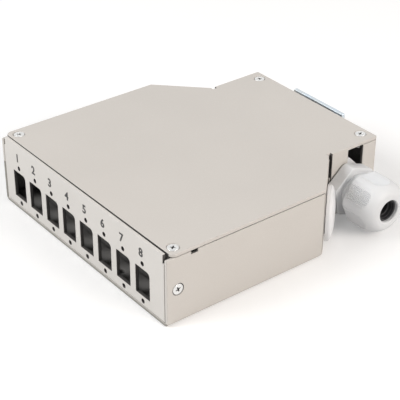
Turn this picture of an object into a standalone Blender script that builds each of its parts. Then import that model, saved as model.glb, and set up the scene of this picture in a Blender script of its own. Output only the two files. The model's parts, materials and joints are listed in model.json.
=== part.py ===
# DIN rail fibre box: a folded steel case with an adapter panel, a cable gland and a rail clip.
# Metres, +Z up, the panel faces -Y. The origin is the centre of the case's underside.
from math import cos, pi, radians, sin, sqrt

import bmesh
import bpy
from mathutils import Matrix, Vector

mm = 0.001

# Case
side_length = 81 * mm            # straight part of each side wall, before the 45 degree shoulder
shoulder_inset = 20.3 * mm       # how much each shoulder narrows the case
body_height = 33 * mm
sheet = 1.5 * mm
bend_radius = 2 * mm             # outer radius where the base turns up into the walls
seat_gap = 0.3 * mm              # between pieces that touch
seam = 0.5 * mm                  # open seam at the folded corners

# Adapter panel
port_count = 8
port_pitch = 13.2 * mm
port_width = 9.5 * mm
port_height = 13 * mm
port_corner = 1.8 * mm           # the one rounded corner of each cut-out
first_port = 13.5 * mm           # from the left side wall's outer face
last_port = 16.1 * mm            # from the right side wall's outer face
port_hole = 2.2 * mm
port_hole_rise = 3.9 * mm        # the lower holes' height above the underside
port_hole_margin = 2.4 * mm      # from a cut-out's edge to the axis of its holes
panel_bottom_flange = 11 * mm
panel_side_flange = 8.5 * mm
panel_side_flange_low = 5 * mm
panel_flange_hole = 3 * mm
panel_flange_holes = (-10 * mm, 22 * mm)
panel_corner_slit = 0.9 * mm
panel_corner_slit_height = 4 * mm

# Lid
lid_front_gap = 0.4 * mm
lid_front_radius = 2.6 * mm
lid_rear_radius = 0.8 * mm
lid_relief = 1.5 * mm            # depth of the notch beside each bent-down tab
lid_tab_width = 9.5 * mm
lid_tab_inset = 0.9 * mm         # the tab starts this far inside the edge of the entry

# Tabs bent in from the walls, which carry the lid
front_tab_length = 9.5 * mm
front_tab_depth = 9 * mm
front_tab_setback = 2.3 * mm     # behind the panel's front face
rear_tab_length = 11 * mm
rear_tab_depth = 8 * mm
tab_drop = 0.1 * mm              # the tabs lie this far below the walls' top edges
relief_length = 3.2 * mm
relief_depth = 1.4 * mm

# Countersunk screws and their press nuts
screw_head = 5.2 * mm
screw_shank = 2.5 * mm
screw_tip = 1.75 * mm            # diameter of the flat end
screw_rim = 0.25 * mm            # straight edge of the head above its cone
screw_gap = 0.2 * mm
screw_length = 6.6 * mm
cross_length = 3.1 * mm
cross_width = 0.75 * mm
cross_depth = 1.1 * mm
nut_diameter = 5 * mm
nut_height = 2.4 * mm
front_nut_gap = 0.5 * mm         # between a front press nut and the side wall
front_screw_back = 6.3 * mm      # from the panel's front face
rear_screw_side = 6.2 * mm       # from the neck wall's outer face
side_screw_back = 5.4 * mm
side_screw_height = 16.3 * mm

# Cable entries
thread_diameter = 18.4 * mm
entry_corner = 1.4 * mm          # neck wall between the shoulder and the entry
entry_post = 8.3 * mm            # neck wall between the entry and the rear wall
entry_relief = 0.3 * mm          # strip of neck wall left beside the shoulder above the relief
entry_relief_drop = 9.7 * mm     # from the walls' top edges down to the relief's floor

# Gland, with its lengths measured outwards from the neck wall's outer face
gland_washer_thickness = 1.4 * mm
gland_washer_rim = 1.6 * mm      # this and the other rims stand out from the thread
gland_hex_rim = 1.8 * mm
gland_hex_length = 4.7 * mm
gland_hex_turn = 40
gland_corner_trim = 0.4 * mm     # turned off each corner of the hexagon flange
gland_chamfer = 0.5 * mm
gland_inner_length = 9 * mm
gland_outer_thread = 7.7 * mm
gland_floor = 1.5 * mm           # ledge inside the body, past the hexagon flange
gland_ledge = 1.1 * mm           # how far the ledge narrows the bore
claw_step = 1.4 * mm             # from the thread in to the claws
claw_wall = 1.2 * mm
claw_length = 4.8 * mm
claw_slot = 1.2 * mm
claw_root = 0.5 * mm             # solid ring between the thread and the slots
claw_slots = 3                   # each slot crosses the whole bore, so there are twice as many claws
claw_room = 4.2 * mm             # from the claws' tips to the end of the nut's cavity
locknut_rim = 1.8 * mm
locknut_thickness = 4.6 * mm
locknut_turn = 75
locknut_floor_gap = 0.331 * mm   # between the locknut's lowest corner and the base
nut_travel_gap = 4.3 * mm        # between the hexagon flange and the dome nut
dome_rim = 1.8 * mm
dome_corner_trim = 1 * mm        # turned off each corner of the dome nut
dome_turn = 55
dome_hex_length = 7.4 * mm
dome_chamfer = 0.4 * mm
dome_lip = 3.8 * mm              # solid front of the nut past its cavity
dome_front_rim = 1.75 * mm       # flat ring round the cable hole
dome_hole_gap = 1.35 * mm        # between the seal's bore and the edge of the cable hole
cavity_step = 1 * mm             # length of each cone inside the nut
seal_wall = 2.5 * mm
seal_setback = 1 * mm            # from the gland's ledge to the seal
seal_mouth = 3 * mm              # length of the stepped mouth
seal_lip = 0.6 * mm

# Blanking plugs
plug_rim = 2.8 * mm              # stands out from the shank
neck_plug_rim = 1.5 * mm
plug_corner_gap = 3.5 * mm       # along the shoulder from the neck wall to the rim
plug_rim_thickness = 2 * mm
plug_edge = 0.6 * mm
plug_dome = 1.9 * mm
plug_shank_length = 6.4 * mm
plug_wall = 1.6 * mm
plug_bead = 0.7 * mm
plug_tip_chamfer = 0.4 * mm

# Rail clip, measured from the rear wall's outer face
rail_width = 35 * mm
rail_clearance = 0.4 * mm
rail_flange_gap = 1.4 * mm
hook_margin = 9.5 * mm           # from the hooks to the case's top and underside
hook_reach = 2.4 * mm
hook_lead = 0.6 * mm             # slant at the tip of each hook
hook_sheet = 1.6 * mm
hook_root = 1 * mm               # how far the fixed hook's foot runs into the plate
bracket_sheet = 2 * mm
bracket_inset = 1.1 * mm         # from the rail's edge to the edge of the plate
bracket_low = 1 * mm
bracket_top_gap = 0.2 * mm       # below the lid's top face
slider_sheet = 1 * mm
slider_inner_end = 8 * mm        # past the case's middle, away from the latch hook
pull_tab_length = 9 * mm
pull_tab_edge = 1.5 * mm         # outside the slot for a screwdriver
pull_slot_length = 3 * mm
pull_slot_height = 8 * mm
spring_length = 12.6 * mm
spring_radius = 1.3 * mm
spring_wire = 0.25 * mm
spring_turns = 7
spring_start = -4 * mm
spring_lift = 0.35 * mm          # from the rear wall to the spring
window_margin = 1 * mm           # above and below the spring
rivet_diameter = 3.2 * mm
rivet_head = 6 * mm
rivet_head_height = 1 * mm
rivet_head_edge = 0.3 * mm
rivet_tail = 5 * mm
rivet_tail_edge = 0.4 * mm
rivet_tail_height = 1.3 * mm
rivet_side = 10.5 * mm
rivet_hook_gap = 1 * mm          # between a rivet's dimple and the latch strip
dimple_diameter = 6 * mm

# Inside
splice_slots = 8
splice_pitch = 5.2 * mm
splice_rib = 1.2 * mm
splice_length = 22 * mm
splice_base = 1.6 * mm
splice_rib_height = 5.6 * mm
splice_setback = 68 * mm         # from the panel's front face to the front of the comb
guide_inset = 28 * mm            # from the side wall's outer face to the clip's middle
guide_setback = 63 * mm          # from the panel's front face to the clip's middle
guide_width = 14 * mm
guide_depth = 6 * mm
guide_height = 11 * mm
guide_wall = 1.5 * mm
guide_mouth = 3 * mm
anchor_gap = 4.5 * mm            # between the tie-down bridge and the gland
anchor_depth = 7 * mm
anchor_width = 14 * mm
anchor_height = 6.4 * mm
tunnel_width = 8 * mm
tunnel_height = 2.6 * mm

# Facets round a full turn
hole_steps = 16
port_hole_steps = 12
sink_steps = 20
screw_steps = 16
rivet_steps = 14
plug_steps = 28
seal_steps = 28
cavity_steps = 32
gland_steps = 36
entry_steps = 40
dome_steps = 48

# Cable entry and gland sizes that follow from the thread
entry_diameter = thread_diameter + 2 * seat_gap
gland_washer_diameter = thread_diameter + 2 * gland_washer_rim
gland_hex = thread_diameter + 2 * gland_hex_rim
gland_hex_round = 2 * (gland_hex / sqrt(3) - gland_corner_trim)
claw_diameter = thread_diameter - 2 * claw_step
claw_bore = claw_diameter - 2 * claw_wall
gland_bore = claw_bore - 2 * gland_ledge
seal_diameter = claw_bore - 2 * seat_gap
seal_bore = seal_diameter - 2 * seal_wall
locknut_hex = thread_diameter + 2 * locknut_rim
locknut_low = locknut_hex / sqrt(3) * cos(radians(locknut_turn % 60 - 30))
dome_hex = thread_diameter + 2 * dome_rim
dome_round = 2 * (dome_hex / sqrt(3) - dome_corner_trim)
dome_hole = seal_bore + 2 * dome_hole_gap
dome_front_diameter = dome_hole + 2 * dome_front_rim
plug_rim_diameter = thread_diameter + 2 * plug_rim
neck_plug_rim_diameter = thread_diameter + 2 * neck_plug_rim

# Stations along the gland's axis
hex_start = gland_washer_thickness + 2 * seat_gap
hex_end = hex_start + gland_hex_length
thread_end = hex_end + gland_outer_thread
claw_end = thread_end + claw_length
claw_floor = hex_end + gland_floor
dome_start = hex_end + nut_travel_gap
dome_hex_end = dome_start + dome_hex_length
cavity_end = claw_end + claw_room
dome_end = cavity_end + dome_lip
seal_start = claw_floor + seal_setback
seal_end = cavity_end - seat_gap

# Places worked out from the sizes above
entry_setback = entry_corner + entry_diameter / 2
neck_length = entry_corner + entry_diameter + entry_post
body_width = first_port + (port_count - 1) * port_pitch + last_port
body_depth = side_length + shoulder_inset + neck_length
half_width = body_width / 2
front = -body_depth / 2
rear = body_depth / 2
neck_half = half_width - shoulder_inset
shoulder_front = front + side_length
shoulder_rear = shoulder_front + shoulder_inset
lid_bottom = body_height - sheet
wall_top = lid_bottom - seat_gap
entry_y = shoulder_rear + entry_setback
entry_height = sheet + locknut_floor_gap + locknut_low
plug_setback = shoulder_inset * sqrt(2) - plug_rim_diameter / 2 - plug_corner_gap
port_hole_spacing = port_height + 2 * port_hole_margin
port_centre_height = port_hole_rise + port_hole_spacing / 2
panel_edge = half_width - sheet - seat_gap
panel_bottom = sheet + seat_gap
panel_side_flange_high = body_height - screw_length - 2 * seat_gap
floor_top = sheet + seat_gap
front_screw_side = sheet + front_nut_gap + nut_diameter / 2
rear_screw_back = sheet + seat_gap + nut_diameter / 2
front_screw = (half_width - front_screw_side, front + front_screw_back)
rear_screw = (neck_half - rear_screw_side, rear - rear_screw_back)
clip_height = body_height / 2
hook_width = body_height - 2 * hook_margin
rivet_rise = hook_width / 2 + rivet_hook_gap + dimple_diameter / 2
bracket_half = rail_width / 2 - bracket_inset
slider_back = rear + seat_gap
bracket_back = slider_back + slider_sheet + seat_gap
rail_face = bracket_back + bracket_sheet
hook_inner = rail_width / 2 + rail_clearance / 2
lip_front = rail_face + rail_flange_gap
window_height = 2 * (spring_radius + spring_wire + window_margin)


def clear_scene():
    for thing in list(bpy.data.objects):
        bpy.data.objects.remove(thing, do_unlink=True)


def make_material(name, colour, roughness, metallic=0.0):
    material = bpy.data.materials.new(name)
    material.use_nodes = True
    shader = material.node_tree.nodes["Principled BSDF"]
    shader.inputs["Base Color"].default_value = (*colour, 1.0)
    shader.inputs["Roughness"].default_value = roughness
    shader.inputs["Metallic"].default_value = metallic
    material.diffuse_color = (*colour, 1.0)
    return material


def as_mesh(shape, name):
    mesh = bpy.data.meshes.new(name)
    shape.to_mesh(mesh)
    shape.free()
    return mesh


def add_part(name, shape, material, location=(0, 0, 0), turn=None):
    part = bpy.data.objects.new(name, as_mesh(shape, name))
    part.data.materials.append(material)
    part.location = location
    if turn is not None:
        part.rotation_euler = turn
    bpy.context.collection.objects.link(part)
    return part


def combine(part, shape, operation):
    # Apply one Boolean step in the part's own coordinates.
    tool = bpy.data.objects.new("tool", as_mesh(shape, "tool"))
    tool.matrix_world = Matrix.LocRotScale(part.location, part.rotation_euler, None)
    tool.hide_render = True
    tool.display_type = "WIRE"
    bpy.context.collection.objects.link(tool)
    step = part.modifiers.new("step", "BOOLEAN")
    step.operation = operation
    step.solver = "EXACT"
    step.object = tool
    graph = bpy.context.evaluated_depsgraph_get()
    part.data = bpy.data.meshes.new_from_object(part.evaluated_get(graph))
    part.modifiers.clear()
    bpy.data.objects.remove(tool, do_unlink=True)


def carve(part, *shapes):
    for shape in shapes:
        combine(part, shape, "DIFFERENCE")


def fuse(part, *shapes):
    for shape in shapes:
        combine(part, shape, "UNION")


def join_part(part, other):
    # Fuse one finished object into another and remove it.
    shape = bmesh.new()
    shape.from_mesh(other.data)
    bpy.data.objects.remove(other, do_unlink=True)
    fuse(part, shape)


def trim(part, shape):
    combine(part, shape, "INTERSECT")


def shade_round(part, angle=35):
    part.data.shade_smooth()
    part.data.set_sharp_from_angle(angle=radians(angle))


def place_along(axis, u, v, w):
    # (u, v) lie in the section and w runs along the axis.
    return {"X": (w, u, v), "Y": (u, w, v), "Z": (u, v, w)}[axis]


def prism(outline, low, high, axis="Z"):
    shape = bmesh.new()
    corners = [shape.verts.new(place_along(axis, u, v, low)) for u, v in outline]
    face = shape.faces.new(corners)
    grown = bmesh.ops.extrude_face_region(shape, geom=[face])
    far_corners = [item for item in grown["geom"] if isinstance(item, bmesh.types.BMVert)]
    bmesh.ops.translate(shape, vec=place_along(axis, 0, 0, high - low), verts=far_corners)
    bmesh.ops.recalc_face_normals(shape, faces=shape.faces)
    return shape


def box(x_range, y_range, z_range):
    outline = rectangle(x_range, y_range)
    return prism(outline, *z_range)


def rectangle(u_range, v_range):
    (u_low, u_high), (v_low, v_high) = u_range, v_range
    return [(u_low, v_low), (u_high, v_low), (u_high, v_high), (u_low, v_high)]


def turned(profile, steps, axis="X"):
    # The profile is a closed run of (distance along the axis, radius).
    shape = bmesh.new()
    points = [shape.verts.new(place_along(axis, radius, 0, along)) for along, radius in profile]
    edges = []
    for index, (along, radius) in enumerate(profile):
        if radius > 0 or profile[index - 1][1] > 0:
            edges.append(shape.edges.new((points[index - 1], points[index])))
    bmesh.ops.spin(shape, geom=points + edges, cent=(0, 0, 0), axis=place_along(axis, 0, 0, 1),
                   angle=2 * pi, steps=steps, use_merge=True)
    bmesh.ops.remove_doubles(shape, verts=shape.verts, dist=1e-7)
    bmesh.ops.recalc_face_normals(shape, faces=shape.faces)
    return shape


def tube(inner_radius, outer_radius, low, high, steps, axis="X"):
    profile = [(low, inner_radius), (high, inner_radius), (high, outer_radius), (low, outer_radius)]
    return turned(profile, steps, axis)


def rod(radius, low, high, steps, axis="X"):
    return turned([(low, 0), (high, 0), (high, radius), (low, radius)], steps, axis)


def moved(shape, offset, turn=None):
    if turn is not None:
        bmesh.ops.rotate(shape, matrix=turn, verts=shape.verts)
    bmesh.ops.translate(shape, vec=offset, verts=shape.verts)
    return shape


def arc(centre, radius, start, end, steps):
    points = []
    for step in range(steps + 1):
        angle = radians(start + (end - start) * step / steps)
        points.append((centre[0] + radius * cos(angle), centre[1] + radius * sin(angle)))
    return points


def hexagon(across_flats, turn):
    return arc((0, 0), across_flats / sqrt(3), turn, turn + 300, 5)


def round_corners(outline, radii, steps=5):
    # Each corner with a radius becomes an arc that meets both of its sides.
    points = []
    for index, radius in enumerate(radii):
        corner = Vector(outline[index])
        if radius == 0:
            points.append(tuple(corner))
            continue
        back = (Vector(outline[index - 1]) - corner).normalized()
        ahead = (Vector(outline[(index + 1) % len(outline)]) - corner).normalized()
        half_angle = back.angle(ahead) / 2
        centre = corner + (back + ahead).normalized() * radius / sin(half_angle)
        first = corner + back * radius / (sin(half_angle) / cos(half_angle)) - centre
        last = corner + ahead * radius / (sin(half_angle) / cos(half_angle)) - centre
        for step in range(steps + 1):
            towards = first.lerp(last, step / steps).normalized()
            points.append(tuple(centre + towards * radius))
    return points


def case_outline(inset=0.0, front_edge=front):
    # Runs from the front right corner round the rear to the front left corner.
    # The inset moves every wall face inwards by the same distance.
    corner_shift = inset * (sqrt(2) - 1)
    right = [
        (half_width - inset, front_edge),
        (half_width - inset, shoulder_front - corner_shift),
        (neck_half - inset, shoulder_rear - corner_shift),
        (neck_half - inset, rear - inset),
    ]
    left = [(-x, y) for x, y in reversed(right)]
    return right + left


def bend_bottom(shape, radius, bottom, open_front):
    # Round the bottom edges, but leave the open front edge sharp.
    edges = []
    for edge in shape.edges:
        low = all(abs(vert.co.z - bottom) < sheet / 100 for vert in edge.verts)
        at_front = all(vert.co.y < open_front + sheet / 100 for vert in edge.verts)
        if low and not at_front:
            edges.append(edge)
    bmesh.ops.bevel(shape, geom=edges, offset=radius, segments=3, profile=0.5, affect="EDGES")
    return shape


def countersink(top, depth, axis="Z"):
    # A cone that clears a screw head whose face lies at top, with its hole running on below.
    head = screw_head / 2 + screw_gap
    shank = screw_shank / 2 + screw_gap
    cone_end = top - screw_rim - (head - shank)
    profile = [(top + sheet, 0), (top + sheet, head), (top - screw_rim, head), (cone_end, shank),
               (top - depth, shank), (top - depth, 0)]
    return turned(profile, sink_steps, axis)


def shoulder_frame(side):
    # Local X points out of the shoulder's face, at the plug's axis.
    along = plug_setback / sqrt(2)
    place = Vector((side * (half_width - along), shoulder_front + along, entry_height))
    return place, radians(45 if side > 0 else 135)


def build_housing(steel):
    shell = bend_bottom(prism(case_outline(), 0, wall_top), bend_radius, 0, front)
    housing = add_part("housing", shell, steel)
    hollow_front = front - sheet
    carve(housing, prism(case_outline(sheet, hollow_front), sheet, wall_top + sheet))
    for side in (-1, 1):
        fuse(housing, front_tab(side), rear_tab(side))
        carve_side_wall(housing, side)
        carve_shoulder(housing, side)
        carve_neck_wall(housing, side)
    for x, z in rivet_places():
        hole = rod(rivet_diameter / 2 + seat_gap, rear - 2 * sheet, rear + sheet, hole_steps, "Y")
        carve(housing, moved(hole, (x, 0, z)))
    return housing


def front_tab(side):
    x_range = sorted((side * (half_width - sheet / 2), side * (half_width - front_tab_depth)))
    start = front + front_tab_setback
    return box(x_range, (start, start + front_tab_length), (wall_top - sheet, wall_top - tab_drop))


def rear_tab(side):
    centre = side * rear_screw[0]
    x_range = (centre - rear_tab_length / 2, centre + rear_tab_length / 2)
    return box(x_range, (rear - rear_tab_depth, rear - sheet / 2), (wall_top - sheet, wall_top - tab_drop))


def carve_side_wall(housing, side):
    hole = screw_shank / 2 + screw_gap
    tab_end = front + front_tab_setback + front_tab_length
    x_range = sorted((side * (half_width - 2 * sheet), side * (half_width + sheet)))
    relief = box(x_range, (tab_end, tab_end + relief_length), (wall_top - relief_depth, wall_top + sheet))
    tab_hole = rod(hole, wall_top - 2 * sheet, wall_top + sheet, hole_steps, "Z")
    sink = countersink(0, 2 * sheet, "X")
    turn = Matrix.Rotation(pi if side < 0 else 0, 3, "Z")
    side_place = (side * half_width, front + side_screw_back, side_screw_height)
    carve(housing, relief, moved(tab_hole, (side * front_screw[0], front_screw[1], 0)))
    carve(housing, moved(sink, side_place, turn))
    rear_hole = rod(hole, wall_top - 2 * sheet, wall_top + sheet, hole_steps, "Z")
    carve(housing, moved(rear_hole, (side * rear_screw[0], rear_screw[1], 0)))


def carve_shoulder(housing, side):
    place, angle = shoulder_frame(side)
    hole = rod(entry_diameter / 2, -2 * sheet, sheet, entry_steps)
    carve(housing, moved(hole, place, Matrix.Rotation(angle, 3, "Z")))
    for x, y, angle in ((half_width, shoulder_front, 22.5), (neck_half, rear, 45)):
        slit = box((-3 * sheet, 2 * sheet), (-seam / 2, seam / 2), (bend_radius, wall_top + sheet))
        turn = Matrix.Rotation(radians(angle if side > 0 else 180 - angle), 3, "Z")
        carve(housing, moved(slit, (side * x, y, 0), turn))


def carve_neck_wall(housing, side):
    radius = entry_diameter / 2
    slot = arc((entry_y, entry_height), radius, 180, 360, entry_steps // 2)
    slot += [(entry_y + radius, wall_top + sheet), (entry_y - radius, wall_top + sheet)]
    x_range = sorted((side * (neck_half - 2 * sheet), side * (neck_half + sheet)))
    relief_range = (shoulder_rear + entry_relief, entry_y - radius / 2)
    carve(housing, prism(slot, *x_range, "X"))
    carve(housing, box(x_range, relief_range, (wall_top - entry_relief_drop, wall_top + sheet)))


def build_front_panel(steel):
    face = rectangle((-panel_edge, panel_edge), (panel_bottom, body_height))
    panel = add_part("front_panel", prism(face, front, front + sheet, "Y"), steel)
    flange_x = (-panel_edge, panel_edge)
    bottom_y = (front + sheet / 2, front + panel_bottom_flange)
    fuse(panel, box(flange_x, bottom_y, (panel_bottom, panel_bottom + sheet)))
    for side in (-1, 1):
        x_range = sorted((side * panel_edge, side * (panel_edge - sheet)))
        flange_y = (front + sheet / 2, front + sheet + panel_side_flange)
        fuse(panel, box(x_range, flange_y, (panel_side_flange_low, panel_side_flange_high)))
        hole = rod(screw_shank / 2 + screw_gap, panel_edge - 2 * sheet, panel_edge + sheet, hole_steps)
        turn = Matrix.Rotation(pi if side < 0 else 0, 3, "Z")
        carve(panel, moved(hole, (0, front + side_screw_back, side_screw_height), turn))
        slit_x = sorted((side * (panel_edge - panel_corner_slit), side * (panel_edge + sheet)))
        slit_z = (body_height - panel_corner_slit_height, body_height + sheet)
        carve(panel, box(slit_x, (front - sheet, front + 2 * sheet), slit_z))
    for x in panel_flange_holes:
        hole = rod(panel_flange_hole / 2, 0, 3 * sheet, hole_steps, "Z")
        carve(panel, moved(hole, (x, front + panel_bottom_flange / 2, 0)))
    for x in port_places():
        carve(panel, port_cutter(x))
        for rise in (-1, 1):
            hole = rod(port_hole / 2, front - sheet, front + sheet + tab_drop, port_hole_steps, "Y")
            height = port_centre_height + rise * port_hole_spacing / 2
            carve(panel, moved(hole, (x, 0, height)))
    return panel


def port_places():
    first = -half_width + first_port
    return [first + index * port_pitch for index in range(port_count)]


def port_cutter(x):
    corners = rectangle((x - port_width / 2, x + port_width / 2),
                        (port_centre_height - port_height / 2, port_centre_height + port_height / 2))
    outline = round_corners(corners, (0, 0, port_corner, 0))
    return prism(outline, front - sheet, front + 2 * sheet, "Y")


def build_lid(steel):
    outline = case_outline(front_edge=front + sheet + lid_front_gap)
    radii = [lid_front_radius, 0, 0, lid_rear_radius, lid_rear_radius, 0, 0, lid_front_radius]
    lid = add_part("lid", prism(round_corners(outline, radii), lid_bottom, body_height), steel)
    tab_front = entry_y - thread_diameter / 2 - 2 * seat_gap + lid_tab_inset
    for side in (-1, 1):
        relief_x = sorted((side * (neck_half - lid_relief), side * (neck_half + sheet)))
        relief = box(relief_x, (shoulder_rear, tab_front), (lid_bottom - sheet, body_height + sheet))
        carve(lid, relief)
        fuse(lid, lid_tab(side, tab_front))
        for x, y in (front_screw, rear_screw):
            carve(lid, moved(countersink(body_height, 2 * sheet), (side * x, y, 0)))
    return lid


def lid_tab(side, tab_front):
    # The tab's lower edge is hollowed to follow the gland's thread.
    radius = thread_diameter / 2 + 2 * seat_gap
    tab_rear = tab_front + lid_tab_width
    outline = [(tab_front, body_height - sheet / 3), (tab_rear, body_height - sheet / 3)]
    steps = 8
    for step in range(steps + 1):
        y = tab_rear - lid_tab_width * step / steps
        outline.append((y, entry_height + sqrt(radius ** 2 - (y - entry_y) ** 2)))
    x_range = sorted((side * (neck_half - sheet), side * neck_half))
    return prism(outline, *x_range, "X")


def screw_shape():
    # A countersunk screw along local Z, with its face at the origin and a cross recess.
    head = screw_head / 2
    shank = screw_shank / 2
    tip = screw_tip / 2
    profile = [(0, 0), (0, head), (-screw_rim, head), (-screw_rim - (head - shank), shank),
               (-screw_length + shank - tip, shank), (-screw_length, tip), (-screw_length, 0)]
    return turned(profile, screw_steps, "Z")


def cross_cutter():
    long, wide = cross_length / 2, cross_width / 2
    outline = [(wide, wide), (wide, long), (-wide, long), (-wide, wide), (-long, wide), (-long, -wide),
               (-wide, -wide), (-wide, -long), (wide, -long), (wide, -wide), (long, -wide), (long, wide)]
    return prism(outline, -cross_depth, cross_depth)


def build_screw(name, place, turn, zinc):
    screw = add_part(name, screw_shape(), zinc, place, turn)
    carve(screw, cross_cutter())
    shade_round(screw)
    return screw


def build_press_nut(name, place, turn, zinc):
    # Local Z points out of the nut, towards the sheet that it is pressed against.
    ring = tube(screw_shank / 2 + seat_gap, nut_diameter / 2, -nut_height, 0, hole_steps, "Z")
    nut = add_part(name, ring, zinc, place, turn)
    shade_round(nut)
    return nut


def build_fasteners(zinc):
    cross_turns = {"front_left": 12, "front_right": 38, "rear_left": 63, "rear_right": 24}
    for end, (x, y) in (("front", front_screw), ("rear", rear_screw)):
        for side_name, side in (("left", -1), ("right", 1)):
            corner = end + "_" + side_name
            turn = (0, 0, radians(cross_turns[corner]))
            build_screw("lid_screw_" + corner, (side * x, y, body_height), turn, zinc)
            below_tab = wall_top - sheet - seat_gap
            build_press_nut("lid_nut_" + corner, (side * x, y, below_tab), None, zinc)
    for side_name, side in (("left", -1), ("right", 1)):
        turn = (0, side * pi / 2, 0)
        y = front + side_screw_back
        build_screw("side_screw_" + side_name, (side * half_width, y, side_screw_height), turn, zinc)
        behind_flange = side * (panel_edge - sheet - seat_gap)
        build_press_nut("side_nut_" + side_name, (behind_flange, y, side_screw_height), turn, zinc)


def chamfered_disc(radius, low, high, chamfer, steps):
    profile = [(low, 0), (low, radius - chamfer), (low + chamfer, radius), (high - chamfer, radius),
               (high, radius - chamfer), (high, 0)]
    return turned(profile, steps)


def build_gland_body(plastic, place):
    inner_end = -sheet - gland_inner_length
    thread = thread_diameter / 2
    claw = claw_diameter / 2
    bore = gland_bore / 2
    stem = [(inner_end, bore), (inner_end, thread - gland_chamfer), (inner_end + gland_chamfer, thread),
            (thread_end, thread), (thread_end, claw), (claw_end, claw), (claw_end, claw_bore / 2),
            (claw_floor, claw_bore / 2), (claw_floor, bore)]
    body = add_part("gland_body", turned(stem, gland_steps), plastic, place)
    for index in range(claw_slots):
        slot = box((thread_end + claw_root, claw_end + sheet), (-claw - sheet, claw + sheet),
                   (-claw_slot / 2, claw_slot / 2))
        turn = Matrix.Rotation(pi * index / claw_slots, 3, "X")
        carve(body, moved(slot, (0, 0, 0), turn))
    flange = add_part("flange", prism(hexagon(gland_hex, gland_hex_turn), hex_start, hex_end, "X"),
                      plastic, place)
    trim(flange, chamfered_disc(gland_hex_round / 2, hex_start, hex_end, gland_chamfer, dome_steps))
    carve(flange, rod((bore + thread) / 2, hex_start - sheet, hex_end + sheet, gland_steps))
    join_part(body, flange)
    shade_round(body, 25)
    return body


def build_gland_rings(plastic, rubber, place):
    clearance_radius = thread_diameter / 2 + seat_gap
    washer = tube(clearance_radius, gland_washer_diameter / 2, seat_gap, seat_gap + gland_washer_thickness,
                  gland_steps)
    shade_round(add_part("gland_washer", washer, rubber, place))
    nut_end = -sheet - seat_gap
    nut_start = nut_end - locknut_thickness
    hex_prism = prism(hexagon(locknut_hex, locknut_turn), nut_start, nut_end, "X")
    locknut = add_part("gland_locknut", hex_prism, plastic, place)
    carve(locknut, rod(clearance_radius, nut_start - sheet, nut_end + sheet, gland_steps))
    shade_round(locknut, 25)


def build_gland_seal(rubber, place):
    bore = seal_bore / 2
    outer = seal_diameter / 2
    groove = seal_end - seal_mouth
    profile = [(seal_start, bore), (groove, bore), (groove + seal_lip, bore + seal_lip),
               (seal_end - cavity_step, bore + seal_lip), (seal_end, bore + 2 * seal_lip),
               (seal_end, outer - cavity_step), (seal_end - cavity_step, outer), (seal_start, outer)]
    seal = add_part("gland_seal", turned(profile, seal_steps), rubber, place)
    shade_round(seal)
    return seal


def build_gland_nut(plastic, place):
    corner = dome_round / 2
    rim = dome_front_diameter / 2
    outline = [(dome_start, 0), (dome_start, corner - dome_chamfer), (dome_start + dome_chamfer, corner),
               (dome_hex_end, corner)]
    # The dome is a quarter ellipse from the turned corners to the flat front rim.
    steps = 9
    for step in range(1, steps + 1):
        angle = pi / 2 * step / steps
        along = dome_hex_end + (dome_end - dome_hex_end) * sin(angle)
        outline.append((along, rim + (corner - rim) * cos(angle)))
    outline.append((dome_end, 0))
    nut = add_part("gland_nut", turned(outline, dome_steps), plastic, place)
    trim(nut, prism(hexagon(dome_hex, dome_turn), dome_start - sheet, dome_end + sheet, "X"))
    carve(nut, dome_cavity())
    shade_round(nut, 25)
    return nut


def dome_cavity():
    # From the open end inwards: thread, claws, cone round the seal, then the cable hole.
    thread = thread_diameter / 2 + seat_gap
    claw = claw_diameter / 2 + 2 * seat_gap
    seal = claw_bore / 2
    hole = dome_hole / 2
    claw_space_end = cavity_end - 3 * cavity_step
    profile = [(dome_start - sheet, 0), (dome_start - sheet, thread), (thread_end + cavity_step, thread),
               (thread_end + 2 * cavity_step, claw), (claw_space_end, claw),
               (cavity_end - cavity_step, seal), (cavity_end, seal - cavity_step), (cavity_end, hole),
               (dome_end + sheet, hole), (dome_end + sheet, 0)]
    return turned(profile, cavity_steps)


def build_gland(plastic, rubber):
    place = (neck_half, entry_y, entry_height)
    build_gland_body(plastic, place)
    build_gland_rings(plastic, rubber, place)
    build_gland_seal(rubber, place)
    build_gland_nut(plastic, place)


def build_plug(name, place, angle, rim_diameter, plastic):
    # Local X points out of the wall, and the wall's outer face is at zero.
    rim = rim_diameter / 2
    shank = thread_diameter / 2
    inner = shank - plug_wall
    rim_top = seat_gap + plug_rim_thickness
    cup_floor = seat_gap + plug_wall
    bead_start = -sheet - seat_gap
    profile = [(seat_gap, shank), (seat_gap, rim), (rim_top - plug_edge, rim), (rim_top, rim - plug_edge)]
    steps = 5
    for step in range(1, steps):
        angle_up = pi / 2 * step / steps
        profile.append((rim_top + plug_dome * sin(angle_up), (rim - plug_edge) * cos(angle_up)))
    profile += [(rim_top + plug_dome, 0), (cup_floor, 0), (cup_floor, inner), (-plug_shank_length, inner),
                (-plug_shank_length, shank - plug_tip_chamfer), (bead_start - 2 * plug_bead, shank),
                (bead_start - plug_bead, shank + plug_bead), (bead_start, shank)]
    plug = add_part(name, turned(profile, plug_steps), plastic, place, (0, 0, angle))
    shade_round(plug)
    return plug


def build_plugs(plastic):
    for side_name, side in (("left", -1), ("right", 1)):
        place, angle = shoulder_frame(side)
        build_plug("plug_shoulder_" + side_name, place, angle, plug_rim_diameter, plastic)
    place = (-neck_half, entry_y, entry_height)
    build_plug("plug_neck_left", place, pi, neck_plug_rim_diameter, plastic)


def rivet_places():
    return [(x, clip_height + z) for x in (-rivet_side, rivet_side) for z in (-rivet_rise, rivet_rise)]


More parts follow.
